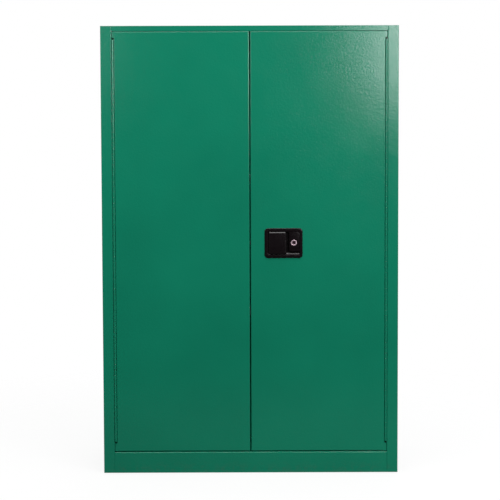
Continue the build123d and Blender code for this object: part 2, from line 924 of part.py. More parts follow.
def lock_plug():
    """Turning plug with its keyway."""
    d_span = (lock_front_d + lock_plug_recess, lock_back_d + cam_play)
    plug = bar_y(lock_x, lock_z, d_span, lock_plug_radius, lock_sides)
    keyway = block(
        (lock_x - keyway_width / 2, lock_x + keyway_width / 2),
        (d_span[0], d_span[0] + keyway_depth),
        (lock_z - keyway_height / 2, lock_z + keyway_height / 2),
    )
    return plug - keyway


def lock_cam():
    """Flat cam on the plug's back end."""
    d_span = (lock_back_d + cam_play, lock_back_d + cam_play + cam_thickness)
    half = cam_width / 2
    cam = block((lock_x - half, lock_x + half), d_span, (lock_z - cam_length, lock_z + half))
    return chamfer(cam.edges().filter_by(Axis.Y), half / 2)


def lock_nut():
    d_span = (body_depth, body_depth + lock_nut_height)
    place = Pos(lock_x, front_y + d_span[1], lock_z) * Rot(90, 0, 0)
    nut = place * hex_bar(lock_nut_flats, lock_nut_height)
    return nut - bar_y(lock_x, lock_z, d_span, lock_barrel_radius, lock_sides)


# Rotor, bars and bolt

def rotor_pin_place(angle):
    """Place of a rotor pin, by its angle at mid travel turned back to the closed state."""
    turned = math.radians(angle) - half_turn
    return (
        rotor_x + rotor_pin_circle * math.cos(turned),
        rotor_z + rotor_pin_circle * math.sin(turned),
    )


def latch_rotor():
    """Three-armed plate that the paddle turns, with a pin for each bar and one for the bolt."""
    plate_span = (rotor_depth, rotor_depth + rotor_thickness)
    reach = rotor_pin_circle + rotor_pin_radius + rotor_margin
    corners = []
    for arm in (0, 180, 270):
        for side in (-rotor_corner, rotor_corner):
            turned = math.radians(arm + side) - half_turn
            corners.append((reach * math.cos(turned), reach * math.sin(turned)))
    face = Pos(rotor_x, front_y + plate_span[0], rotor_z) * (Plane.XZ * Polygon(*corners, align=None))
    rotor = extrude(face, rotor_thickness, dir=(0, 1, 0))
    for arm in (0, 180):
        x, z = rotor_pin_place(arm)
        rotor = rotor + bar_y(x, z, (plate_span[1], bar_back_d), rotor_pin_radius, shaft_sides)
    x, z = rotor_pin_place(270)
    drive_span = (body_depth + part_play, bolt_back_d)
    rotor = rotor + bar_y(x, z, drive_span, rotor_pin_radius, shaft_sides)
    hole_radius = bore_radius(axle_radius, shaft_sides)
    return rotor - bar_y(rotor_x, rotor_z, plate_span, hole_radius, shaft_sides)


def rotor_axle():
    """Axle in the housing's boss, with the clip that keeps the rotor on it."""
    clip_d = rotor_depth + rotor_thickness + part_play
    shaft_span = (pocket_floor_d, clip_d + axle_clip)
    shaft = bar_y(rotor_x, rotor_z, shaft_span, axle_radius, shaft_sides)
    clip_span = (clip_d, clip_d + axle_clip)
    return shaft + bar_y(rotor_x, rotor_z, clip_span, axle_clip_radius, shaft_sides)


def eye_hole(x, z, d_span, drift_x, drift_z):
    """Slotted eye round a rotor pin, longer the way the pin drifts."""
    half = rotor_pin_radius + eye_play
    return block(
        (x - half - drift_x, x + half + drift_x),
        d_span,
        (z - half - drift_z, z + half + drift_z),
    )


def latch_bar_top():
    d_span = (bar_d, bar_back_d)
    pin_z = rotor_z + pin_swing
    end = pin_z - rotor_pin_radius - eye_wall
    x_span = (left_bar_x - bar_width / 2, left_bar_x + bar_width / 2)
    bar = block(x_span, d_span, (end, door_top + bar_tip_reach))
    bar = chamfer(bar.faces().sort_by(Axis.Z)[-1].edges().filter_by(Axis.Y), bar_nose)
    return bar - eye_hole(left_bar_x, pin_z, d_span, eye_drift, 0)


def latch_bar_bottom():
    d_span = (bar_d, bar_back_d)
    pin_z = rotor_z - pin_swing
    end = pin_z + rotor_pin_radius + eye_wall
    x_span = (right_bar_x - bar_width / 2, right_bar_x + bar_width / 2)
    bar = block(x_span, d_span, (door_bottom - bar_tip_reach, end))
    bar = chamfer(bar.faces().sort_by(Axis.Z)[0].edges().filter_by(Axis.Y), bar_nose)
    return bar - eye_hole(right_bar_x, pin_z, d_span, eye_drift, 0)


def centre_bolt():
    """Bolt that shoots across the gap towards the left door."""
    d_span = (bolt_d, bolt_back_d)
    pin_x_place = rotor_x - pin_swing
    end = pin_x_place + rotor_pin_radius + eye_wall
    z_span = (bolt_z - bar_width / 2, bolt_z + bar_width / 2)
    bolt = block((door_inner_x - bolt_tip_reach, end), d_span, z_span)
    bolt = chamfer(bolt.faces().sort_by(Axis.X)[0].edges().filter_by(Axis.Y), bar_nose / 2)
    return bolt - eye_hole(pin_x_place, bolt_z, d_span, 0, eye_drift)


def guide_loop(d_span, half_width_in, middle, along, length):
    """Strap over a bar, with feet on the inner pan; along is the bar's direction."""
    near = d_span[0] - guide_play - guide_sheet
    back = door_thickness - sheet
    inner = half_width_in + guide_play
    outer = inner + guide_sheet
    strap = block((-outer, outer), (near, back), (-length / 2, length / 2))
    feet = block(
        (-outer - guide_lap, outer + guide_lap),
        (back - guide_sheet, back),
        (-length / 2, length / 2),
    )
    loop = strap + feet - block((-inner, inner), (near + guide_sheet, back), (-length / 2, length / 2))
    turn = Rot(0, 90, 0) if along == "x" else Rot(0, 0, 0)
    return Pos(middle[0], 0, middle[1]) * turn * loop


def bar_guides():
    """Straps that hold the bars and the bolt against the inner pan."""
    half = bar_width / 2
    bar_span = (bar_d, bar_back_d)
    bolt_span = (bolt_d, bolt_back_d)
    high = [door_top - guide_from_end, rotor_z + guide_from_handle]
    low = [door_bottom + guide_from_end, rotor_z - guide_from_handle]
    guides = [guide_loop(bar_span, half, (left_bar_x, z), "z", guide_length) for z in high]
    guides += [guide_loop(bar_span, half, (right_bar_x, z), "z", guide_length) for z in low]
    bolt_x = door_inner_x + 2 * sheet + bolt_guide_from_edge
    guides.append(guide_loop(bolt_span, half, (bolt_x, bolt_z), "x", guide_length))
    return guides


def nodes():
    """Every piece of the cabinet by its node name."""
    frame_leaf = hinge_leaf(0, 1)
    door_leaf = hinge_leaf(1, -1)
    pieces = {
        "side_panel_right": side_panel(vent_high),
        "side_panel_left": mirrored(side_panel(vent_low)),
        "back_panel": back_panel(),
        "top_panel": top_panel(),
        "head_stop": head_stop(),
        "sill_panel": sill_panel(),
        "sill_stop": sill_stop(),
        "keeper_top": keeper_top(),
        "keeper_bottom": keeper_bottom(),
        "base_panel": base_panel(),
        "floor_channels": floor_channels(),
        "liner_right": side_liner(vent_high),
        "liner_left": mirrored(side_liner(vent_low)),
        "liner_back": back_liner(),
        "liner_ceiling": ceiling_liner(),
        "sump_tray": sump_tray(),
        "shelf_standards": shelf_standards(),
        "shelf_clips_lower": shelf_clips(slot_count_below_lower_shelf),
        "shelf_clips_upper": shelf_clips(slot_count_below_upper_shelf),
        "shelf_lower": shelf(slot_count_below_lower_shelf),
        "shelf_upper": shelf(slot_count_below_upper_shelf),
        "vent_bungs": [vent_bung(vent_high), mirrored(vent_bung(vent_low))],
        "vent_screens": [vent_screen(vent_high), mirrored(vent_screen(vent_low))],
        "vent_cap_right": vent_cap(vent_high),
        "vent_cap_left": mirrored(vent_cap(vent_low)),
        "ground_stud": ground_stud(),
        "ground_nut": ground_nut(),
        "foot_nuts": foot_nuts(),
        "hinge_frame_leaf_right": frame_leaf,
        "hinge_frame_leaf_left": mirrored(frame_leaf),
        "hinge_pin_right": hinge_pin(),
        "hinge_pin_left": mirrored(hinge_pin()),
        "hinge_door_leaf_right": door_leaf,
        "hinge_door_leaf_left": mirrored(door_leaf),
        "door_right_outer": door_right_outer(),
        "door_right_inner": door_right_inner(),
        "door_left_outer": door_left_outer(),
        "door_left_inner": door_left_inner(),
        "strike_plate": strike_plate(),
        "handle_housing": handle_housing(),
        "housing_clamp": housing_clamp(),
        "handle_paddle": handle_paddle(),
        "paddle_pin": paddle_pin(),
        "paddle_spring": paddle_spring(),
        "latch_rotor": latch_rotor(),
        "rotor_axle": rotor_axle(),
        "latch_bar_top": latch_bar_top(),
        "latch_bar_bottom": latch_bar_bottom(),
        "centre_bolt": centre_bolt(),
        "bar_guides": bar_guides(),
        "lock_body": lock_body(),
        "lock_nut": lock_nut(),
        "lock_plug": lock_plug(),
        "lock_cam": lock_cam(),
    }
    names = ("front_left", "front_right", "back_left", "back_right")
    for name, (x, d) in zip(names, foot_places()):
        pieces["foot_" + name] = levelling_foot(x, d)
    return pieces


os.makedirs("parts", exist_ok=True)
for name, shape in nodes().items():
    if isinstance(shape, list):
        shape = Compound(children=shape)
    export_step(shape, f"parts/{name}.step")
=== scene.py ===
import json
import math

import bmesh
import bpy
from mathutils import Matrix, Vector


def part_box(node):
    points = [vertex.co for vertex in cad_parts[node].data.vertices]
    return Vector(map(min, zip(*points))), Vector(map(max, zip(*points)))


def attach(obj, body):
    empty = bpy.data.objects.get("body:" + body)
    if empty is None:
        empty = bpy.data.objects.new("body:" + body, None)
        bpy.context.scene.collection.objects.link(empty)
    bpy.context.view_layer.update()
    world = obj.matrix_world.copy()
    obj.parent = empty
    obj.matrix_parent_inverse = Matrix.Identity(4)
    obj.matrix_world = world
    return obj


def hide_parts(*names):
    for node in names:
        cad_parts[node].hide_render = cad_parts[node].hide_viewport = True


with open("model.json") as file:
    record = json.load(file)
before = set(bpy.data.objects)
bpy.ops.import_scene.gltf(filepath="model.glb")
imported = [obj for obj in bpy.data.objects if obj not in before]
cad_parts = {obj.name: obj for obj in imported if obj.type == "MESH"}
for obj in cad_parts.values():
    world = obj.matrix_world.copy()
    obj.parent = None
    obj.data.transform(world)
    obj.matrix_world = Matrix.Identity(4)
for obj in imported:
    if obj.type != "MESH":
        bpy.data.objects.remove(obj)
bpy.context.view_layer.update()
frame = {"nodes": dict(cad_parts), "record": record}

mm = 0.001
front_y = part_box("door_right_outer")[0].y

# Camera, as the photograph was taken: metres, degrees, pixels and a sensor width in millimetres
camera_distance = 4.0
camera_side = -0.0007
camera_height = 1.024
camera_pitch = 2.764
camera_roll = -0.18
focal_pixels = 1086.5
picture_pixels = 500.0
sensor_width = 36.0


def srgb(red, green, blue):
    """Linear colour from 0 to 255 screen values."""
    channels = []
    for value in (red, green, blue):
        share = value / 255.0
        low = share / 12.92
        high = ((share + 0.055) / 1.055) ** 2.4
        channels.append(low if share <= 0.04045 else high)
    return (*channels, 1.0)


# Materials


# Slots of the mix node: its two colours, and its blended colour
mix_inputs = (6, 7)
mix_output = 2


class Shader:
    """A node material under construction."""

    def __init__(self, name):
        self.material = bpy.data.materials.new(name)
        self.material.use_nodes = True
        self.tree = self.material.node_tree
        self.surface = self.tree.nodes["Principled BSDF"]
        self.place = self.tree.nodes.new("ShaderNodeTexCoord").outputs["Object"]

    def set(self, **values):
        for name, value in values.items():
            self.surface.inputs[name.replace("_", " ")].default_value = value
        return self

    def node(self, kind, **values):
        made = self.tree.nodes.new(kind)
        for name, value in values.items():
            made.inputs[name.replace("_", " ")].default_value = value
        return made

    def link(self, source, target):
        self.tree.links.new(source, target)

    def stretch(self, x, y, z):
        """Object coordinates with a different scale on each axis."""
        mapping = self.tree.nodes.new("ShaderNodeMapping")
        mapping.inputs["Scale"].default_value = (x, y, z)
        self.link(self.place, mapping.inputs["Vector"])
        return mapping.outputs["Vector"]

    def noise(self, scale, detail=2.0, roughness=0.5, place=None):
        made = self.node("ShaderNodeTexNoise", Scale=scale, Detail=detail, Roughness=roughness)
        self.link(place or self.place, made.inputs["Vector"])
        return made.outputs["Fac"]

    def spread(self, source, low, high, to_low, to_high):
        """A value moved from one range to another, held at its ends."""
        made = self.node("ShaderNodeMapRange")
        made.clamp = True
        for name, value in zip(("From Min", "From Max", "To Min", "To Max"), (low, high, to_low, to_high)):
            made.inputs[name].default_value = value
        self.link(source, made.inputs["Value"])
        return made.outputs["Result"]

    def blend(self, share, first, second):
        """Mix two colours, given as sockets or as values."""
        made = self.tree.nodes.new("ShaderNodeMix")
        made.data_type = "RGBA"
        self.link(share, made.inputs["Factor"])
        for slot, colour in zip(mix_inputs, (first, second)):
            if isinstance(colour, bpy.types.NodeSocket):
                self.link(colour, made.inputs[slot])
            else:
                made.inputs[slot].default_value = colour
        return made.outputs[mix_output]

    def calculate(self, operation, first, second):
        """One sum on two values, given as sockets or as numbers."""
        made = self.tree.nodes.new("ShaderNodeMath")
        made.operation = operation
        for slot, value in enumerate((first, second)):
            if isinstance(value, bpy.types.NodeSocket):
                self.link(value, made.inputs[slot])
            else:
                made.inputs[slot].default_value = value
        return made.outputs[0]

    def height(self):
        """Height of a point above its object's origin."""
        made = self.tree.nodes.new("ShaderNodeSeparateXYZ")
        self.link(self.place, made.inputs[0])
        return made.outputs["Z"]

    def bump(self, source, strength, distance, below=None):
        made = self.node("ShaderNodeBump", Strength=strength, Distance=distance)
        self.link(source, made.inputs["Height"])
        if below:
            self.link(below, made.inputs["Normal"])
        return made.outputs["Normal"]

    def finish(self, colour=None, roughness=None, normal=None):
        if colour:
            self.link(colour, self.surface.inputs["Base Color"])
        if roughness:
            self.link(roughness, self.surface.inputs["Roughness"])
        if normal:
            self.link(normal, self.surface.inputs["Normal"])
        return self.material


coat_light = srgb(12, 124, 95)
coat_dark = srgb(9, 115, 88)
grain_shade = 0.86
grain_share = 0.35
dust = srgb(70, 92, 80)
dust_share = 0.35
dust_height = 50.0 * mm


def powder_coat(name, light, dark, gloss):
    """Green powder coat: orange peel, slight clouding and dust near the floor."""
    shader = Shader(name)
    shader.set(Specular_IOR_Level=0.5)
    clouds = shader.spread(shader.noise(2.6, 3.0), 0.3, 0.7, 0.0, 1.0)
    colour = shader.blend(clouds, dark, light)
    grain = shader.spread(shader.noise(900.0, 1.0), 0.35, 0.65, 0.0, 1.0)
    fine_dark = tuple(grain_shade * value for value in light[:3]) + (1.0,)
    speckle = shader.calculate("MULTIPLY", grain, grain_share)
    colour = shader.blend(speckle, colour, fine_dark)
    near_floor = shader.spread(shader.height(), 0.0, dust_height, dust_share, 0.0)
    scuffs = shader.spread(shader.noise(55.0, 4.0, 0.6), 0.45, 0.75, 0.0, 1.0)
    colour = shader.blend(shader.calculate("MULTIPLY", near_floor, scuffs), colour, dust)
    roughness = shader.spread(shader.noise(14.0, 3.0), 0.3, 0.7, gloss, gloss + 0.04)
    peel = shader.bump(shader.noise(150.0, 1.0), 0.5, 0.0006)
    normal = shader.bump(shader.noise(1100.0, 1.0), 0.10, 0.0003, peel)
    return shader.finish(colour, roughness, normal)


def moulded_plastic(name):
    """Black moulded plastic with a fine spark-eroded grain."""
    shader = Shader(name)
    shader.set(Specular_IOR_Level=0.35)
    patches = shader.noise(35.0, 2.0)
    colour = shader.blend(patches, srgb(9, 4, 7), srgb(15, 9, 12))
    roughness = shader.spread(shader.noise(120.0, 3.0), 0.3, 0.7, 0.20, 0.27)
    normal = shader.bump(shader.noise(2600.0, 2.0), 0.12, 0.0002)
    return shader.finish(colour, roughness, normal)


def plated_metal(name, light, dark, rough, scratches=0.15):
    """Plated steel with soft clouding and fine lengthwise scratches."""
    shader = Shader(name)
    shader.set(Metallic=1.0)
    clouds = shader.spread(shader.noise(60.0, 3.0), 0.3, 0.7, 0.0, 1.0)
    colour = shader.blend(clouds, dark, light)
    roughness = shader.spread(shader.noise(90.0, 3.0), 0.3, 0.7, rough, rough + 0.12)
    lines = shader.noise(1.0, 2.0, 0.5, shader.stretch(1800.0, 1800.0, 60.0))
    return shader.finish(colour, roughness, shader.bump(lines, scratches, 0.0001))


def galvanised(name):
    """Hot-dip galvanised sheet with its spangle."""
    shader = Shader(name)
    shader.set(Metallic=1.0)
    cells = shader.node("ShaderNodeTexVoronoi", Scale=95.0, Randomness=1.0)
    shader.link(shader.place, cells.inputs["Vector"])
    spangle = shader.tree.nodes.new("ShaderNodeRGBToBW")
    shader.link(cells.outputs["Color"], spangle.inputs[0])
    colour = shader.blend(spangle.outputs[0], srgb(178, 182, 184), srgb(204, 207, 207))
    roughness = shader.spread(spangle.outputs[0], 0.0, 1.0, 0.36, 0.46)
    return shader.finish(colour, roughness, shader.bump(shader.noise(500.0, 2.0), 0.05, 0.0003))


materials = {
    "green_paint": powder_coat("green_powder_coat", coat_light, coat_dark, 0.15),
    "inner_paint": powder_coat("inner_powder_coat", coat_light, coat_dark, 0.24),
    "hinge_paint": powder_coat("hinge_powder_coat", coat_light, coat_dark, 0.17),
    "galvanised_sheet": galvanised("galvanised_steel"),
    "zinc_steel": plated_metal("zinc_plated_steel", srgb(196, 198, 196), srgb(168, 170, 166), 0.28),
    "steel_screen": plated_metal("woven_steel", srgb(140, 142, 142), srgb(110, 112, 112), 0.35),
    "black_plastic": moulded_plastic("black_moulded_plastic"),
    "nickel_lock": plated_metal("satin_nickel", srgb(206, 184, 194), srgb(184, 162, 172), 0.38, 0.05),
    "spring_steel": plated_metal("spring_steel", srgb(120, 120, 122), srgb(88, 88, 90), 0.35),
}
# Dark plum colour for the nickel lock plug: painted shade of the recessed plug face and its keyway
plug_painted_shade = plated_metal("lock_core_painted_shade", srgb(72, 48, 60), srgb(52, 34, 44), 0.38, 0.1)
slot_of = {row["node"]: row["material_slot"] for row in frame["record"]["subparts"]}
for node, shown in frame["nodes"].items():
    shown.data.materials.clear()
    shown.data.materials.append(materials[slot_of[node]])


# Mesh helpers


def add_rings(mesh, rings, close_start=True, close_end=True):
    """Skin a row of closed rings that have the same number of points."""
    rows = [[mesh.verts.new(point) for point in ring] for ring in rings]
    count = len(rows[0])
    for first, second in zip(rows, rows[1:]):
        for index in range(count):
            after = (index + 1) % count
            mesh.faces.new((first[index], first[after], second[after], second[index]))
    if close_start:
        mesh.faces.new(rows[0])
    if close_end:
        mesh.faces.new(reversed(rows[-1]))


def rounded_rectangle(x_span, z_span, corner, steps=8):
    """Points (x, z) of a rectangle with round corners, all the way round."""
    points = []
    centres = (
        (x_span[1] - corner, z_span[1] - corner, 0),
        (x_span[0] + corner, z_span[1] - corner, 90),
        (x_span[0] + corner, z_span[0] + corner, 180),
        (x_span[1] - corner, z_span[0] + corner, 270),
    )
    for x, z, start in centres:
        for step in range(steps + 1):
            angle = math.radians(start + 90 * step / steps)
            points.append((x + corner * math.cos(angle), z + corner * math.sin(angle)))
    return points


def inset_span(span, amount):
    return (span[0] + amount, span[1] - amount)


def around(middle, size):
    """Span of a size about its middle."""
    return (middle - size / 2, middle + size / 2)


least_corner = 0.3 * mm


def drawn_in(first_span, second_span, corner, inset):
    """Points of a rounded rectangle drawn in by inset."""
    spans = (inset_span(first_span, inset), inset_span(second_span, inset))
    return rounded_rectangle(*spans, max(corner - inset, least_corner))


def frame_ring(x_span, z_span, corner, inset, y):
    """A rounded rectangle that faces the front, drawn in by inset, at one depth."""
    return [Vector((x, y, z)) for x, z in drawn_in(x_span, z_span, corner, inset)]


def plan_ring(x_span, y_span, corner, inset, z):
    """A level rounded rectangle drawn in by inset, at one height."""
    return [Vector((x, y, z)) for x, y in drawn_in(x_span, y_span, corner, inset)]


def quarter(radius, steps=4):
    """(across, along) offsets of a quarter round, from its side to its top."""
    turns = [math.pi / 2 * step / steps for step in range(steps + 1)]
    return [(radius * (1 - math.cos(turn)), radius * math.sin(turn)) for turn in turns]


def turned_rings(centre, axis, profile, sides=48, start=0.0):
    """Rings of a turned form. Its profile is (along the axis, radius), and a radius may follow the angle."""
    axis = Vector(axis).normalized()
    helper = Vector((0, 0, 1)) if abs(axis.z) < 0.9 else Vector((1, 0, 0))
    across = axis.cross(helper).normalized()
    up = axis.cross(across)
    rings = []
    for along, radius in profile:
        ring = []
        for side in range(sides):
            angle = start + 2 * math.pi * side / sides
            offset = across * math.cos(angle) + up * math.sin(angle)
            reach = radius(angle) if callable(radius) else radius
            ring.append(Vector(centre) + axis * along + offset * reach)
        rings.append(ring)
    return rings


def turned_tube(mesh, centre, axis, profile, sides=48):
    """A turned form whose profile closes on itself, such as a ring or a sleeve."""
    rings = turned_rings(centre, axis, profile, sides)
    rows = [[mesh.verts.new(point) for point in ring] for ring in rings]
    for first, second in zip(rows, rows[1:] + rows[:1]):
        for index in range(sides):
            after = (index + 1) % sides
            mesh.faces.new((first[index], first[after], second[after], second[index]))


cone_tip_share = 0.96
cone_shares = (0, 0.25, 0.5, 0.75, 1)


def hex_profile(flats, height, chamfer, both_ends=False):
    """Profile of a hexagon whose end is turned to a cone, with its free end at height."""

    def cut(limit):
        def reach(angle):
            turn = (angle + math.pi / 6) % (math.pi / 3) - math.pi / 6
            return min(flats / 2 / math.cos(turn), limit)

        return reach

    corner = flats / 2 / math.cos(math.pi / 6)
    tip = flats / 2 * cone_tip_share
    cone = [(chamfer * share, tip + (corner - tip) * share) for share in cone_shares]
    rows = [(height - along, cut(limit)) for along, limit in reversed(cone)]
    start = [(along, cut(limit)) for along, limit in cone] if both_ends else [(0, cut(corner))]
    return start + rows


rows_per_pitch = 6


def thread_profile(span, radius, depth, pitch):
    """Profile of a screw thread: the ridge climbs by one pitch in a turn."""

    def ridge(along):
        def reach(angle):
            phase = (along / pitch - angle / (2 * math.pi)) % 1.0
            return radius - depth * abs(2 * phase - 1)

        return reach

    count = round((span[1] - span[0]) / pitch * rows_per_pitch)
    places = [span[0] + (span[1] - span[0]) * step / count for step in range(count + 1)]
    return [(along, ridge(along)) for along in places]


def folded_strip(mesh, outer, inner, levels, place, is_open=None):
    """Folded sheet: outer and inner are matching points across it, levels are the ends of its rows."""
    rows = []
    for level in levels:
        rows.append([[mesh.verts.new(place(point, level)) for point in path] for path in (outer, inner)])

    def is_solid(column, row):
        inside = 0 <= column < len(outer) - 1 and 0 <= row < len(levels) - 1
        return inside and not (is_open and is_open(column, row))

    for row in range(len(levels) - 1):
        (out_low, in_low), (out_high, in_high) = rows[row], rows[row + 1]
        for column in range(len(outer) - 1):
            if not is_solid(column, row):
                continue
            after = column + 1
            faces = [
                (out_low[column], out_low[after], out_high[after], out_high[column]),
                (in_low[column], in_high[column], in_high[after], in_low[after]),
            ]
            if not is_solid(column - 1, row):
                faces.append((out_low[column], out_high[column], in_high[column], in_low[column]))
            if not is_solid(column + 1, row):
                faces.append((out_low[after], in_low[after], in_high[after], out_high[after]))
            if not is_solid(column, row - 1):
                faces.append((out_low[column], in_low[column], in_low[after], out_low[after]))
            if not is_solid(column, row + 1):
                faces.append((out_high[column], out_high[after], in_high[after], in_high[column]))
            for face in faces:
                mesh.faces.new(face)
    loose = [vert for vert in mesh.verts if not vert.link_faces]
    bmesh.ops.delete(mesh, geom=loose, context="VERTS")


def bend_points(corner, start, end, radius, steps=4):
    """Points of a round bend about corner, from one angle to another in degrees."""
    angles = [math.radians(start + (end - start) * step / steps) for step in range(steps + 1)]
    return [(corner[0] + radius * math.cos(angle), corner[1] + radius * math.sin(angle)) for angle in angles]


def piece(name, mesh, slot, body, replaced=(), smooth_angle=35.0, look=None):
    """Turn a bmesh into an object of the scene that rides on a body."""
    bmesh.ops.recalc_face_normals(mesh, faces=mesh.faces)
    data = bpy.data.meshes.new(name)
    mesh.to_mesh(data)
    mesh.free()
    shown = bpy.data.objects.new(name, data)
    bpy.context.scene.collection.objects.link(shown)
    data.materials.append(look or materials[slot])
    for face in data.polygons:
        face.use_smooth = True
    data.set_sharp_from_angle(angle=math.radians(smooth_angle))
    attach(shown, body)
    if replaced:
        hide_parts(*replaced)
    return shown


# Continuous hinges

handed = (("right", 1), ("left", -1))
knuckle_count = 75
knuckle_gap = 0.5 * mm
curl_outer = 4.1 * mm
curl_inner = 2.1 * mm
curl_turn = 290.0
curl_inner_end = 10.0
curl_outer_steps = 18
curl_inner_steps = 12
curl_chamfer = 0.3 * mm
tab_start = 1.2 * mm
leaf_sheet = 1.5 * mm
leaf_notch = 4.6 * mm
leaf_depth = 30.0 * mm
pin_radius = 2.0 * mm
pin_chamfer = 0.8 * mm
top_trim = 4.0 * mm
foot_trim = 10.5 * mm


def curl_outline(side, shrink):
    """Plan outline of one curl and its tab; side is where its leaf lies, +1 to the right."""
    outer = curl_outer - shrink
    inner = curl_inner + shrink
    tab = curl_outer - leaf_sheet + shrink
    points = [(outer, leaf_notch)]
    points += bend_points((0, 0), 0, -curl_turn, outer, curl_outer_steps)
    points += bend_points((0, 0), -curl_turn, curl_inner_end, inner, curl_inner_steps)
    points += [(tab, tab_start), (tab, leaf_notch)]
    return [(side * u, v) for u, v in points]


def hinge_leaf(name, pin_x, z_span, first, side, body, node):
    """A leaf of the hinge with every second curl, counted from the foot."""
    mesh = bmesh.new()
    pitch = (z_span[1] - z_span[0] + knuckle_gap) / knuckle_count
    for number in range(first, knuckle_count, 2):
        low = z_span[0] + number * pitch
        high = z_span[0] + (number + 1) * pitch - knuckle_gap
        if number == 0:
            low += foot_trim
        if number == knuckle_count - 1:
            high -= top_trim
        levels = [(low, curl_chamfer), (low + curl_chamfer, 0)]
        levels += [(high - curl_chamfer, 0), (high, curl_chamfer)]
        rings = []
        for z, shrink in levels:
            rings.append([Vector((pin_x + u, front_y + v, z)) for u, v in curl_outline(side, shrink)])
        add_rings(mesh, rings)
    u_span = sorted((side * curl_outer, side * (curl_outer - leaf_sheet)))
    corners = [
        (pin_x + u_span[0], front_y + leaf_notch),
        (pin_x + u_span[1], front_y + leaf_notch),
        (pin_x + u_span[1], front_y + leaf_depth),
        (pin_x + u_span[0], front_y + leaf_depth),
    ]
    add_rings(mesh, [[Vector((x, y, z)) for x, y in corners] for z in z_span])
    return piece(name, mesh, "hinge_paint", body, [node])


def hinge_pin(name, pin_x, z_span, node):
    """Hinge pin with chamfered ends."""
    low, high = z_span
    end_radius = pin_radius - pin_chamfer
    profile = [(0, end_radius), (pin_chamfer, pin_radius)]
    profile += [(high - low - pin_chamfer, pin_radius), (high - low, end_radius)]
    mesh = bmesh.new()
    add_rings(mesh, turned_rings((pin_x, front_y, low), (0, 0, 1), profile, sides=20))
    return piece(name, mesh, "zinc_steel", "cabinet", [node])


ear_gap = 0.4 * mm
top_ear = 22.5 * mm
foot_ear = 29.0 * mm
ear_depth = 14.0 * mm
ear_bend = 2.0 * mm
ear_sheet = 1.2 * mm
ear_lap = 4.0 * mm
ear_proud = 0.02 * mm


def hinge_ears(word, side):
    """Folded ears on the door that close the gap beyond both ends of its hinge."""
    door_low, door_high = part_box(f"door_{word}_outer")
    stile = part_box("hinge_frame_leaf_" + word)[side > 0].x
    reach = abs(stile) - ear_gap
    start = max(abs(door_low.x), abs(door_high.x)) - ear_lap
    face = -ear_proud
    corner = (reach - ear_bend, face + ear_bend)
    outer = [(start, face)] + bend_points(corner, -90, 0, ear_bend) + [(reach, ear_depth)]
    inner = [(start, face + ear_sheet)] + bend_points(corner, -90, 0, ear_bend - ear_sheet)
    inner.append((reach - ear_sheet, ear_depth))

    def place(point, z):
        return Vector((side * point[0], front_y + point[1], z))

    mesh = bmesh.new()
    for levels in ((door_low.z, door_low.z + foot_ear), (door_high.z - top_ear, door_high.z)):
        folded_strip(mesh, outer, inner, levels, place)
    return piece("hinge_ears_" + word, mesh, "green_paint", "door_" + word)


for word, side in handed:
    hinge_ears(word, side)
    pin_low, pin_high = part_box("hinge_pin_" + word)
    pin_x = (pin_low.x + pin_high.x) / 2
    frame_leaf, door_leaf = "hinge_frame_leaf_" + word, "hinge_door_leaf_" + word
    leaf_low, leaf_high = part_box(frame_leaf)
    z_span = (leaf_low.z, leaf_high.z)
    hinge_leaf("hinge_frame_curls_" + word, pin_x, z_span, 0, side, "cabinet", frame_leaf)
    hinge_leaf("hinge_door_curls_" + word, pin_x, z_span, 1, -side, "door_" + word, door_leaf)
    rod_span = (z_span[0] + foot_trim + pin_chamfer, z_span[1] - top_trim - pin_chamfer)
    hinge_pin("hinge_rod_" + word, pin_x, rod_span, "hinge_pin_" + word)


# Beads in the gaps over and under the doors

bead_sheet = 1.2 * mm
bead_round = 0.3 * mm
bead_height = 0.8 * mm
sill_bead_height = 2.4 * mm
head_bead_depth = 0.5 * mm
sill_bead_depth = 2.5 * mm
door_bead_depth = 0.3 * mm
door_bead_inset = 2.0 * mm
rail_over_stop = 2.4 * mm


def gap_bead(name, body, x_span, edge, height, depth):
    """Strip along an edge beside the gap, just behind the face of its sheet."""
    y_span = (front_y + depth, front_y + depth + bead_sheet)
    z_span = sorted((edge, edge + height))
    outline = rounded_rectangle(y_span, z_span, bead_round, steps=2)
    mesh = bmesh.new()
    add_rings(mesh, [[Vector((x, y, z)) for y, z in outline] for x in x_span])
    return piece(name, mesh, "green_paint", body)


frame_reach = min(abs(corner.x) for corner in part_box("hinge_frame_leaf_right"))
frame_span = (-frame_reach, frame_reach)
rail_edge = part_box("head_stop")[1].z - rail_over_stop
sill_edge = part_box("sill_panel")[1].z
gap_bead("head_bead", "cabinet", frame_span, rail_edge, -bead_height, head_bead_depth)
gap_bead("sill_bead", "cabinet", frame_span, sill_edge, sill_bead_height, sill_bead_depth)
for word in ("right", "left"):
    door_low, door_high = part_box(f"door_{word}_outer")
    door_span = inset_span((door_low.x, door_high.x), door_bead_inset)
    gap_bead("door_bead_" + word, "door_" + word, door_span, door_high.z, bead_height, door_bead_depth)


# Handle

plate_low, plate_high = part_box("handle_housing")
plate_x = (plate_low.x, plate_high.x)
plate_z = (plate_low.z, plate_high.z)
plate_front = plate_low.y
plate_corner = 13.0 * mm
plate_round = 1.5 * mm
pocket_x = (plate_x[0] + 13.0 * mm, plate_x[1] - 11.0 * mm)
pocket_z = inset_span(plate_z, 12.5 * mm)
pocket_corner = 6.0 * mm
pocket_round = 1.0 * mm
pocket_floor = front_y + 14.0 * mm
pocket_draft = 0.4 * mm
plate_lap = 5.0 * mm
body_back = front_y + 16.5 * mm
ramp_rise = 5.5 * mm
ramp_start = front_y + 7.5 * mm


def pocket_ring(inset, y, rise=0.0):
    """Outline of the pocket at one depth, with its foot raised."""
    return frame_ring(pocket_x, (pocket_z[0] + rise, pocket_z[1]), pocket_corner, inset, y)


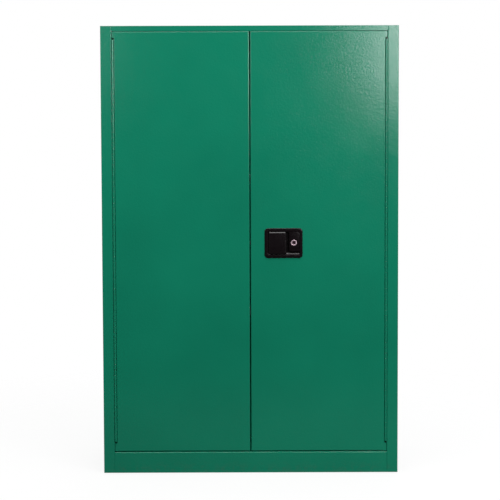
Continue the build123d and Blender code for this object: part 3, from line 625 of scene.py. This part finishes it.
def handle_housing():
    """Plate, pocket with its sloped foot, and the body behind, as one skin."""
    mesh = bmesh.new()
    body_x = inset_span(plate_x, plate_lap)
    body_z = inset_span(plate_z, plate_lap)
    body_corner = plate_corner - plate_lap
    rings = [frame_ring(body_x, body_z, body_corner, 0, body_back)]
    rings.append(frame_ring(body_x, body_z, body_corner, 0, front_y))
    rings.append(frame_ring(plate_x, plate_z, plate_corner, 0, front_y))
    for inset, rise in quarter(plate_round):
        rings.append(frame_ring(plate_x, plate_z, plate_corner, inset, plate_front + plate_round - rise))
    for inset, rise in reversed(quarter(pocket_round)):
        rings.append(pocket_ring(-inset, plate_front + pocket_round - rise))
    rings.append(pocket_ring(pocket_draft, ramp_start))
    rings.append(pocket_ring(pocket_draft, pocket_floor - pocket_round, ramp_rise))
    rings.append(pocket_ring(pocket_draft + pocket_round, pocket_floor, ramp_rise))
    add_rings(mesh, rings)
    return mesh


pad_sunk = 3.0 * mm
pad_x = (144.0 * mm, pocket_x[1] + pad_sunk)
pad_z = (pocket_z[0] + 12.0 * mm, pocket_z[1] + pad_sunk)
pad_front = front_y - 0.5 * mm
pad_corner = 1.5 * mm
pad_round = 1.2 * mm


def lock_pad(mesh):
    """Raised pad round the lock, which runs into the pocket's right and top walls."""
    rings = [frame_ring(pad_x, pad_z, pad_corner, 0, pocket_floor)]
    for inset, rise in quarter(pad_round):
        rings.append(frame_ring(pad_x, pad_z, pad_corner, inset, pad_front + pad_round - rise))
    add_rings(mesh, rings)


ledge_rise = 5.5 * mm
ledge_depth = 3.2 * mm
ledge_front = front_y + 0.3 * mm
ledge_round = 0.4 * mm
ledge_sunk = 1.0 * mm
ledge_play = 0.8 * mm


def pocket_ledge(mesh):
    """Steep ledge at the pocket's foot, beside the paddle's free edge."""
    foot = pocket_z[0] - ledge_sunk
    top = pocket_z[0] + ledge_rise
    crest = ledge_front + ledge_depth
    corners = [(ledge_front, foot), (ledge_front, pocket_z[0]), (crest - ledge_round, top - ledge_round)]
    corners += [(crest, top), (pocket_floor, top), (pocket_floor, foot)]
    x_span = (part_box("handle_paddle")[1].x + ledge_play, pocket_x[1] + ledge_sunk)
    add_rings(mesh, [[Vector((x, y, z)) for y, z in corners] for x in x_span])


housing_mesh = handle_housing()
lock_pad(housing_mesh)
pocket_ledge(housing_mesh)
piece("handle_surround", housing_mesh, "black_plastic", "door_right", ["handle_housing"])

paddle_low, paddle_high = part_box("handle_paddle")
paddle_x = (paddle_low.x, paddle_high.x)
paddle_z = (paddle_low.z, paddle_high.z)
paddle_front = paddle_low.y
paddle_skin = 3.5 * mm
paddle_corner = 5.0 * mm
paddle_bevel = 4.0 * mm
paddle_bevel_depth = 2.2 * mm
paddle_round = 0.8 * mm
lip_width = 3.0 * mm
lip_depth = 8.0 * mm
lip_round = 1.0 * mm
lip_taper = 0.7 * mm
pivot_radius = 3.2 * mm
pivot_play = 0.5 * mm
pivot_inset = 4.0 * mm
pivot_proud = 1.0 * mm
tail_width = 5.0 * mm
tail_height = 10.0 * mm
tail_corner = 1.0 * mm

# (inset, depth) from the back of the paddle's plate to its face
paddle_profile = (
    (0, paddle_skin),
    (0, paddle_bevel_depth + 0.4 * mm),
    (0.3 * mm, paddle_bevel_depth),
    (paddle_bevel - paddle_round, 0.3 * mm),
    (paddle_bevel, 0.08 * mm),
    (paddle_bevel + paddle_round, 0),
)


def handle_paddle():
    """Bevelled plate with a lip at its free edge, two pivot barrels and a tail."""
    mesh = bmesh.new()
    rings = []
    for inset, depth in paddle_profile:
        rings.append(frame_ring(paddle_x, paddle_z, paddle_corner, inset, paddle_front + depth))
    add_rings(mesh, rings)
    back = paddle_front + paddle_skin
    lip_end = back + lip_depth
    lip_x = (paddle_x[1] - lip_width, paddle_x[1])
    lip_z = inset_span(paddle_z, paddle_corner)
    lip = ((0, back), (0, lip_end - lip_round), (lip_taper, lip_end))
    add_rings(mesh, [frame_ring(lip_x, lip_z, lip_round, inset, y) for inset, y in lip])
    pivot = Vector((paddle_x[0] + pivot_inset, front_y - pivot_proud, 0))
    spring_low, spring_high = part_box("paddle_spring")
    barrels = [(paddle_z[0] + pivot_play, spring_low.z - pivot_play)]
    barrels.append((spring_high.z + pivot_play, paddle_z[1] - pivot_play))
    for low, high in barrels:
        profile = [(0, pivot_radius), (high - low, pivot_radius)]
        add_rings(mesh, turned_rings((pivot.x, pivot.y, low), (0, 0, 1), profile, sides=24))
    tail_x = around(pivot.x, tail_width)
    tail_z = around((paddle_z[0] + paddle_z[1]) / 2, tail_height)
    add_rings(mesh, [frame_ring(tail_x, tail_z, tail_corner, 0, y) for y in (front_y, paddle_high.y)])
    return mesh


piece("paddle_grip", handle_paddle(), "black_plastic", "paddle", ["handle_paddle"])

lock_low, lock_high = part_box("lock_body")
lock_centre = Vector(((lock_low.x + lock_high.x) / 2, lock_low.y, (lock_low.z + lock_high.z) / 2))
bezel_radius = 11.2 * mm
bezel_depth = 2.6 * mm
bore_radius = 5.6 * mm
lock_barrel_radius = 9.5 * mm

# (depth, inset from the rim), from the rim to the face, and (depth, radius), from the face to the bore
bezel_rim = ((1.0 * mm, 0), (0.45 * mm, 0.35 * mm), (0.1 * mm, 1.0 * mm), (0, 1.8 * mm))
countersink = ((0, 7.4 * mm), (0.3 * mm, 6.8 * mm), (1.8 * mm, bore_radius))


def lock_bezel():
    """Turned ring with a rounded rim and a countersunk bore, on its barrel."""
    length = lock_high.y - lock_low.y
    profile = [(length, lock_barrel_radius), (bezel_depth, lock_barrel_radius), (bezel_depth, bezel_radius)]
    profile += [(depth, bezel_radius - inset) for depth, inset in bezel_rim]
    profile += [*countersink, (length, bore_radius)]
    mesh = bmesh.new()
    turned_tube(mesh, lock_centre, (0, 1, 0), profile, sides=64)
    return mesh


piece("lock_bezel", lock_bezel(), "nickel_lock", "door_right", ["lock_body"])

core_low, core_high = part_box("lock_plug")
core_radius = 5.45 * mm
core_round = 0.4 * mm
keyway = (1.6 * mm, 7.0 * mm)
keyway_round = 0.3 * mm
keyway_depth = 3.0 * mm
keyway_lip = 0.4 * mm
keyway_lip_round = 0.6 * mm
keyway_lip_depth = 0.3 * mm


def lock_core():
    """Turning plug: a disc with a chamfered rim and a keyway."""
    mesh = bmesh.new()
    x_span = around(lock_centre.x, keyway[0])
    z_span = around(lock_centre.z, keyway[1])
    count = len(frame_ring(x_span, z_span, keyway_round, 0, 0))

    def disc(radius, y):
        points = []
        for index in range(count):
            angle = 2 * math.pi * (index + 0.5) / count
            x, z = radius * math.cos(angle), radius * math.sin(angle)
            points.append(Vector((lock_centre.x + x, y, lock_centre.z + z)))
        return points

    front = core_low.y
    rings = [disc(core_radius, core_high.y), disc(core_radius, front + core_round)]
    rings.append(disc(core_radius - core_round, front))
    rings.append(frame_ring(x_span, z_span, keyway_lip_round, -keyway_lip, front))
    rings.append(frame_ring(x_span, z_span, keyway_round, 0, front + keyway_lip_depth))
    rings.append(frame_ring(x_span, z_span, keyway_round, 0, front + keyway_depth))
    add_rings(mesh, rings)
    return mesh


# The plug wears the dark colour of painted shade in place of its nickel
piece("lock_core", lock_core(), "nickel_lock", "lock_cylinder", ["lock_plug"], look=plug_painted_shade)


# Shelf standards and shelves

standard_sheet = 1.5 * mm
standard_bend = 3.0 * mm
standard_width = 30.0 * mm
standard_depth = 10.0 * mm
slot_width = 6.0 * mm
slot_height = 16.0 * mm
slot_pitch = 33.0 * mm
slot_first = 164.0 * mm


def shelf_standards():
    """Four slotted channels, open towards the walls they stand on."""
    low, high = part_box("shelf_standards")
    wall = high.x
    face = wall - standard_depth
    half = standard_width / 2
    corners = ((face + standard_bend, -half + standard_bend), (face + standard_bend, half - standard_bend))

    def path(shift):
        reach = standard_bend - shift
        points = [(wall, -half + shift)] + bend_points(corners[0], 270, 180, reach)
        points += [(face + shift, -slot_width / 2), (face + shift, slot_width / 2)]
        return points + bend_points(corners[1], 180, 90, reach) + [(wall, half - shift)]

    outer, inner = path(0.0), path(standard_sheet)
    slot_column = len(outer) // 2 - 1
    levels = [low.z]
    while levels[-1] < high.z - slot_pitch:
        start = slot_first + (len(levels) - 1) // 2 * slot_pitch
        levels += [start, start + slot_height]
    levels.append(high.z)

    def is_slot(column, row):
        return column == slot_column and row % 2

    mesh = bmesh.new()
    for side in (-1, 1):
        for middle in (low.y + half, high.y - half):

            def place(point, z):
                return Vector((side * point[0], middle + point[1], z))

            folded_strip(mesh, outer, inner, levels, place, is_slot)
    return mesh


piece("slotted_standards", shelf_standards(), "galvanised_sheet", "cabinet", ["shelf_standards"])

shelf_sheet = 1.5 * mm
shelf_hem = 14.0 * mm
shelf_bend = 3.0 * mm
shelf_corner = 4.0 * mm


def shelf_pan(node):
    """Shelf with rounded bends, its edges turned down and hemmed."""
    low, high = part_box(node)
    x_span, y_span = (low.x, high.x), (low.y, high.y)
    skin = shelf_bend - shelf_sheet
    outside = [(inset, high.z - shelf_bend + rise) for inset, rise in reversed(quarter(shelf_bend))]
    outside += [(inset, low.z + shelf_bend - rise) for inset, rise in quarter(shelf_bend)]
    hem = [(shelf_hem, low.z), (shelf_hem, low.z + shelf_sheet)]
    inside = [(shelf_sheet + inset, low.z + shelf_bend - rise) for inset, rise in reversed(quarter(skin))]
    inside += [(shelf_sheet + inset, high.z - shelf_bend + rise) for inset, rise in quarter(skin)]
    section = outside + hem + inside
    mesh = bmesh.new()
    add_rings(mesh, [plan_ring(x_span, y_span, shelf_corner, inset, z) for inset, z in section])
    return mesh


for word in ("lower", "upper"):
    pan = shelf_pan("shelf_" + word)
    piece(word + "_shelf_pan", pan, "galvanised_sheet", word + "_shelf", ["shelf_" + word])


# Vents, earthing stud and feet

vent_bore = 26.05 * mm
vent_sleeve = 30.0 * mm
vent_flange = (38.0 * mm, 3.0 * mm)
vent_edge = 0.6 * mm
cap_head = 10.0 * mm
cap_flats = 62.0 * mm
cap_chamfer = 2.0 * mm
plug_play = 0.15 * mm
plug_chamfer = 0.8 * mm
plug_tip_radius = vent_bore - 1.4 * mm
plug_pitch = 2.0 * mm
plug_thread_depth = 0.7 * mm
screen_thickness = 1.5 * mm
screen_rim = 1.6 * mm
wire_pitch = 2.6 * mm
wire_radius = 0.35 * mm


def vent_sleeve_mesh(side, start, z):
    """Sleeve with its outer flange, turned round the vent's axis."""
    mesh = bmesh.new()
    case_side = max(abs(corner.x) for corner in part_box("side_panel_right"))
    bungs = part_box("vent_bungs")
    tip = bungs[1].x
    flange = case_side + vent_flange[1]
    profile = [(start, vent_bore), (start, vent_sleeve - vent_edge), (start + vent_edge, vent_sleeve)]
    profile += [(case_side, vent_sleeve), (case_side, vent_flange[0]), (flange - vent_edge, vent_flange[0])]
    profile += [(flange, vent_flange[0] - vent_edge), (flange, vent_sleeve), (tip - vent_edge, vent_sleeve)]
    profile += [(tip, vent_sleeve - vent_edge), (tip, vent_bore)]
    turned_tube(mesh, (0, (bungs[0].y + bungs[1].y) / 2, z), (side, 0, 0), profile, sides=64)
    return mesh


def vent_cap_mesh(side, z):
    """Screwed plug with a chamfered six-sided head."""
    mesh = bmesh.new()
    low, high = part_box("vent_cap_right")
    seat = high.x - cap_head
    centre = (0, (low.y + high.y) / 2, z)
    shank = (low.x + plug_chamfer, seat)
    profile = [(low.x, plug_tip_radius)]
    profile += thread_profile(shank, vent_bore - plug_play, plug_thread_depth, plug_pitch)
    head = [(seat + along, reach) for along, reach in hex_profile(cap_flats, cap_head, cap_chamfer)]
    add_rings(mesh, turned_rings(centre, (side, 0, 0), profile + head, sides=96))
    return mesh


def woven_wire(mesh, centre, along, across, offset, reach, start):
    """One wire that passes over and under the wires across it."""
    steps = max(2, 2 * round(2 * reach / wire_pitch))
    rings = []
    for step in range(steps + 1):
        place = -reach + 2 * reach * step / steps
        lift = wire_radius * math.cos(math.pi * place / wire_pitch + start)
        middle = Vector(centre) + along * place + across * offset + Vector((lift, 0, 0))
        ring = []
        for turn in range(4):
            angle = math.pi / 2 * turn
            out = Vector((wire_radius * math.sin(angle), 0, 0))
            ring.append(middle + across * wire_radius * math.cos(angle) + out)
        rings.append(ring)
    add_rings(mesh, rings)


def vent_screen_mesh():
    """Two woven screens, each in a flat rim."""
    mesh = bmesh.new()
    low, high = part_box("vent_screens")
    y = (low.y + high.y) / 2
    radius = (high.y - low.y) / 2
    inner = high.x - screen_thickness
    for side, z in ((1, high.z - radius), (-1, low.z + radius)):
        profile = [(inner, radius), (inner, radius - screen_rim)]
        profile += [(high.x, radius - screen_rim), (high.x, radius)]
        turned_tube(mesh, (0, y, z), (side, 0, 0), profile, sides=48)
        centre = (side * (high.x - screen_thickness / 2), y, z)
        count = int((radius - screen_rim) / wire_pitch)
        for number in range(-count, count + 1):
            offset = number * wire_pitch
            reach = math.sqrt((radius - 0.5 * screen_rim) ** 2 - offset ** 2)
            phase = math.pi * number
            woven_wire(mesh, centre, Vector((0, 1, 0)), Vector((0, 0, 1)), offset, reach, phase)
            woven_wire(mesh, centre, Vector((0, 0, 1)), Vector((0, 1, 0)), offset, reach, phase + math.pi)
    return mesh


sleeve_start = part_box("vent_screens")[1].x - screen_thickness
for word, side in handed:
    vent_z = sum(corner.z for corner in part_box("vent_cap_" + word)) / 2
    sleeve = vent_sleeve_mesh(side, sleeve_start, vent_z)
    piece("vent_sleeve_" + word, sleeve, "green_paint", "cabinet", ["vent_bungs"])
    plug = vent_cap_mesh(side, vent_z)
    piece("vent_plug_" + word, plug, "green_paint", word + "_vent_cap", ["vent_cap_" + word])
piece("vent_wire_screens", vent_screen_mesh(), "steel_screen", "cabinet", ["vent_screens"])

screw_pitch = 1.25 * mm
thread_depth = 0.5 * mm
nut_chamfer = 0.9 * mm


def screw_profile(span, radius):
    """Threaded shank with a chamfered tip."""
    thread = thread_profile((span[0], span[1] - thread_depth), radius, thread_depth, screw_pitch)
    return thread + [(span[1], radius - 2 * thread_depth)]


def earthing_stud():
    """Threaded stud that points out of its box's high side, along -x."""
    low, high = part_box("ground_stud")
    radius = (high.z - low.z) / 2
    mesh = bmesh.new()
    centre = (high.x, (low.y + high.y) / 2, (low.z + high.z) / 2)
    add_rings(mesh, turned_rings(centre, (-1, 0, 0), screw_profile((0, high.x - low.x), radius), sides=32))
    return mesh


def earthing_nut():
    """Nut with both faces chamfered, on the stud's axis."""
    low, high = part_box("ground_nut")
    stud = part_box("ground_stud")
    flats = min(high.z - low.z, high.y - low.y)
    mesh = bmesh.new()
    centre = (high.x, (low.y + high.y) / 2, (low.z + high.z) / 2)
    inner = (stud[1].z - stud[0].z) / 2
    profile = hex_profile(flats, high.x - low.x, nut_chamfer, True)
    turned_tube(mesh, centre, (-1, 0, 0), [(0, inner)] + profile + [(high.x - low.x, inner)], sides=48)
    return mesh


piece("earthing_stud", earthing_stud(), "zinc_steel", "cabinet", ["ground_stud"])
piece("earthing_nut", earthing_nut(), "zinc_steel", "cabinet", ["ground_nut"])

foot_head = 8.0 * mm
foot_shank = 5.0 * mm
foot_chamfer = 1.2 * mm


def levelling_foot(node):
    """Levelling screw: chamfered six-sided head on the floor and a threaded shank."""
    low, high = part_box(node)
    flats = min(high.x - low.x, high.y - low.y)
    mesh = bmesh.new()
    centre = ((low.x + high.x) / 2, (low.y + high.y) / 2, low.z)
    head = hex_profile(flats, foot_head, foot_chamfer, True)
    shank = screw_profile((foot_head, high.z - low.z), foot_shank)
    add_rings(mesh, turned_rings(centre, (0, 0, 1), head + shank, sides=36))
    return mesh


for place in ("front_left", "front_right", "back_left", "back_right"):
    foot = levelling_foot("foot_" + place)
    piece("levelling_screw_" + place, foot, "zinc_steel", place + "_foot", ["foot_" + place])


# Camera, light and stage

white = (1.0, 1.0, 1.0, 1.0)

# Place, target and size in metres, and power in watts
panel_lights = {
    "overhead_box": ((0, -1.5, 4.5), (0, -1.1, 0), (3.0, 3.0), 170.0),
    "sheen_box": ((1.3, -4.2, 2.35), (0.3, 0, 1.3), (0.8, 1.2), 31.0),
    "sheen_box_left": ((-1.45, -4.2, 2.3), (-0.3, 0, 1.3), (0.7, 1.0), 3.0),
    "soft_box_right": ((2.4, -3.0, 2.1), (0, 0, 1.25), (1.2, 1.2), 68.0),
    "soft_box_left": ((-3.0, -3.5, 2.4), (0, 0, 1.2), (1.5, 1.5), 40.0),
    "back_box": ((0.8, 4.2, 2.8), (0, 0.2, 0.9), (3.2, 3.2), 75.0),
    "side_box_left": ((-4.0, 1.4, 2.2), (-0.5, 0, 0.9), (3.0, 3.0), 42.0),
    "side_box_right": ((4.0, 1.4, 2.2), (0.5, 0, 0.9), (3.0, 3.0), 42.0),
}


def add_camera():
    data = bpy.data.cameras.new("camera")
    data.sensor_width = sensor_width
    data.lens = focal_pixels / picture_pixels * sensor_width
    camera = bpy.data.objects.new("camera", data)
    bpy.context.scene.collection.objects.link(camera)
    tilt = Matrix.Rotation(math.radians(90 - camera_pitch), 4, "X")
    roll = Matrix.Rotation(math.radians(camera_roll), 4, "Z")
    place = Matrix.Translation((camera_side, front_y - camera_distance, camera_height))
    camera.matrix_world = place @ tilt @ roll
    bpy.context.scene.camera = camera


def add_panel_light(name, place, target, size, power):
    data = bpy.data.lights.new(name, "AREA")
    data.shape = "RECTANGLE"
    data.size, data.size_y = size
    data.energy = power
    light = bpy.data.objects.new(name, data)
    bpy.context.scene.collection.objects.link(light)
    light.location = place
    aim = Vector(target) - Vector(place)
    light.rotation_euler = aim.to_track_quat("-Z", "Y").to_euler()


def add_stage(radius, tone, fade_from, fade_to, glow):
    """Pale round floor that fades into the backdrop."""
    mesh = bmesh.new()
    bmesh.ops.create_circle(mesh, cap_ends=True, segments=96, radius=radius)
    data = bpy.data.meshes.new("floor")
    mesh.to_mesh(data)
    mesh.free()
    floor = bpy.data.objects.new("floor", data)
    bpy.context.scene.collection.objects.link(floor)
    shader = Shader("pale_floor")
    shader.set(Roughness=0.9, Specular_IOR_Level=0.1)
    shader.set(Base_Color=(tone, tone, tone, 1.0), Emission_Color=white)
    seen = shader.tree.nodes.new("ShaderNodeLightPath").outputs["Is Camera Ray"]
    shader.link(shader.calculate("MULTIPLY", seen, glow), shader.surface.inputs["Emission Strength"])
    length = shader.tree.nodes.new("ShaderNodeVectorMath")
    length.operation = "LENGTH"
    shader.link(shader.place, length.inputs[0])
    fade = shader.spread(length.outputs["Value"], fade_from, fade_to, 1.0, 0.0)
    shader.link(fade, shader.surface.inputs["Alpha"])
    data.materials.append(shader.finish())


def set_world(front_fill, back_fill):
    """White backdrop in view, and a fill light that is stronger from the back than from the front."""
    world = bpy.data.worlds.new("studio")
    world.use_nodes = True
    tree = world.node_tree
    output = tree.nodes["World Output"]
    backdrop = tree.nodes["Background"]
    backdrop.inputs["Color"].default_value = white
    fill = tree.nodes.new("ShaderNodeBackground")
    direction = tree.nodes.new("ShaderNodeTexCoord").outputs["Generated"]
    parts = tree.nodes.new("ShaderNodeSeparateXYZ")
    tree.links.new(direction, parts.inputs[0])
    level = tree.nodes.new("ShaderNodeMapRange")
    ends = {"From Min": -1.0, "From Max": 1.0, "To Min": front_fill, "To Max": back_fill}
    for name, value in ends.items():
        level.inputs[name].default_value = value
    tree.links.new(parts.outputs["Y"], level.inputs["Value"])
    tree.links.new(level.outputs["Result"], fill.inputs["Strength"])
    seen = tree.nodes.new("ShaderNodeLightPath").outputs["Is Camera Ray"]
    either = tree.nodes.new("ShaderNodeMixShader")
    tree.links.new(seen, either.inputs["Fac"])
    tree.links.new(fill.outputs[0], either.inputs[1])
    tree.links.new(backdrop.outputs[0], either.inputs[2])
    tree.links.new(either.outputs[0], output.inputs["Surface"])
    bpy.context.scene.world = world


bpy.context.scene.view_settings.view_transform = "Standard"
add_camera()
set_world(front_fill=0.05, back_fill=0.6)
add_stage(radius=3.0, tone=0.08, fade_from=1.3, fade_to=2.4, glow=0.88)
for name, settings in panel_lights.items():
    add_panel_light(name, *settings)
